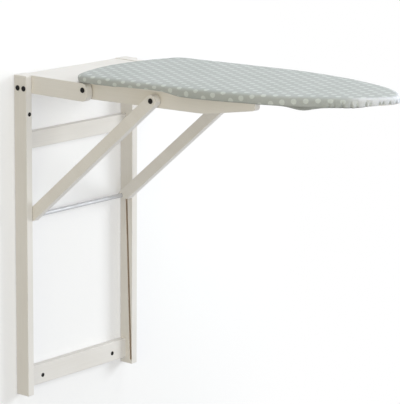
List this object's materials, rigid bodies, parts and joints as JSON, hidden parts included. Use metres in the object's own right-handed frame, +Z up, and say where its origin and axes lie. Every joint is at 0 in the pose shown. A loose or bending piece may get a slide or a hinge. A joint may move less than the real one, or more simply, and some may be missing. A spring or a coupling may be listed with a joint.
{
  "type": "wall-mounted fold-down ironing board",
  "caption": "Padded ironing board with a rounded nose, hinged on two arms of a painted timber wall frame, held by a pair of struts whose rod slides in grooves, with a fixed shelf behind.",
  "frame": {"origin": "middle of the bottom rail's wall face, on the wall plane", "axes": "+X to the right along the wall as seen from the room, +Y into the wall, +Z up; the board reaches out along -Y"},
  "size_m": [0.4578, 1.1054, 0.9409],
  "materials": {
    "painted_wood": "satin off-white paint over timber",
    "painted_panel": "matt off-white painted board",
    "beech": "plain turned dowel",
    "black_steel": "black oxide",
    "satin_steel": "satin, drawn rod",
    "nylon": "moulded, natural",
    "felt_pad": "needled felt",
    "sage_cotton": "woven cotton, sage with pale dots"
  },
  "bodies": {
    "wall_frame": {"left_stile": "painted_wood", "right_stile": "painted_wood", "bottom_rail": "painted_wood", "middle_rail": "painted_wood", "left_arm": "painted_wood", "right_arm": "painted_wood", "shelf": "painted_wood", "left_bottom_low_dowel": "beech", "left_bottom_high_dowel": "beech", "left_middle_low_dowel": "beech", "left_middle_high_dowel": "beech", "right_bottom_low_dowel": "beech", "right_bottom_high_dowel": "beech", "right_middle_low_dowel": "beech", "right_middle_high_dowel": "beech", "left_shelf_rear_dowel": "beech", "left_shelf_front_dowel": "beech", "right_shelf_rear_dowel": "beech", "right_shelf_front_dowel": "beech", "left_upper_wall_screw": "black_steel", "left_lower_wall_screw": "black_steel", "right_upper_wall_screw": "black_steel", "right_lower_wall_screw": "black_steel", "left_arm_rear_bolt": "black_steel", "left_arm_rear_nut": "black_steel", "left_arm_front_bolt": "black_steel", "left_arm_front_nut": "black_steel", "right_arm_rear_bolt": "black_steel", "right_arm_rear_nut": "black_steel", "right_arm_front_bolt": "black_steel", "right_arm_front_nut": "black_steel", "left_hinge_bolt": "black_steel", "left_hinge_washer": "nylon", "left_hinge_nut": "black_steel", "right_hinge_bolt": "black_steel", "right_hinge_washer": "nylon", "right_hinge_nut": "black_steel"},
    "board": {"board_panel": "painted_panel", "board_pad": "felt_pad", "board_cover": "sage_cotton", "left_board_rail": "painted_wood", "right_board_rail": "painted_wood", "rear_batten": "painted_wood", "front_batten": "painted_wood", "left_rear_batten_screw": "black_steel", "left_front_batten_screw": "black_steel", "right_rear_batten_screw": "black_steel", "right_front_batten_screw": "black_steel", "left_strut_bolt": "black_steel", "left_strut_washer": "nylon", "left_strut_nut": "black_steel", "right_strut_bolt": "black_steel", "right_strut_washer": "nylon", "right_strut_nut": "black_steel"},
    "struts": {"left_strut": "painted_wood", "right_strut": "painted_wood", "cross_rod": "satin_steel"},
    "left_pin": {"left_guide_pin": "satin_steel"},
    "right_pin": {"right_guide_pin": "satin_steel"}
  },
  "joints": [
    {"name": "board_fold", "type": "hinge", "parent": "wall_frame", "child": "board", "pos_m": [0, -0.233, 0.836], "axis": [1, 0, 0], "range_deg": [0, 91.2]},
    {"name": "strut_fold", "type": "hinge", "parent": "board", "child": "struts", "pos_m": [0, -0.47207, 0.83501], "axis": [1, 0, 0], "range_deg": [-122.5, 0]},
    {"name": "left_pin_slide", "type": "slide", "parent": "wall_frame", "child": "left_pin", "axis": [0, -0.0368, -0.9993], "range_m": [0, 0.4168]},
    {"name": "right_pin_slide", "type": "slide", "parent": "wall_frame", "child": "right_pin", "axis": [0, -0.0368, -0.9993], "range_m": [0, 0.4168]}
  ],
  "couplings": [
    {"joint": "strut_fold", "follows": "board_fold", "ratio": -1.3429},
    {"joint": "left_pin_slide", "follows": "board_fold", "m_per_rad": 0.26183},
    {"joint": "right_pin_slide", "follows": "board_fold", "m_per_rad": 0.26183}
  ]
}
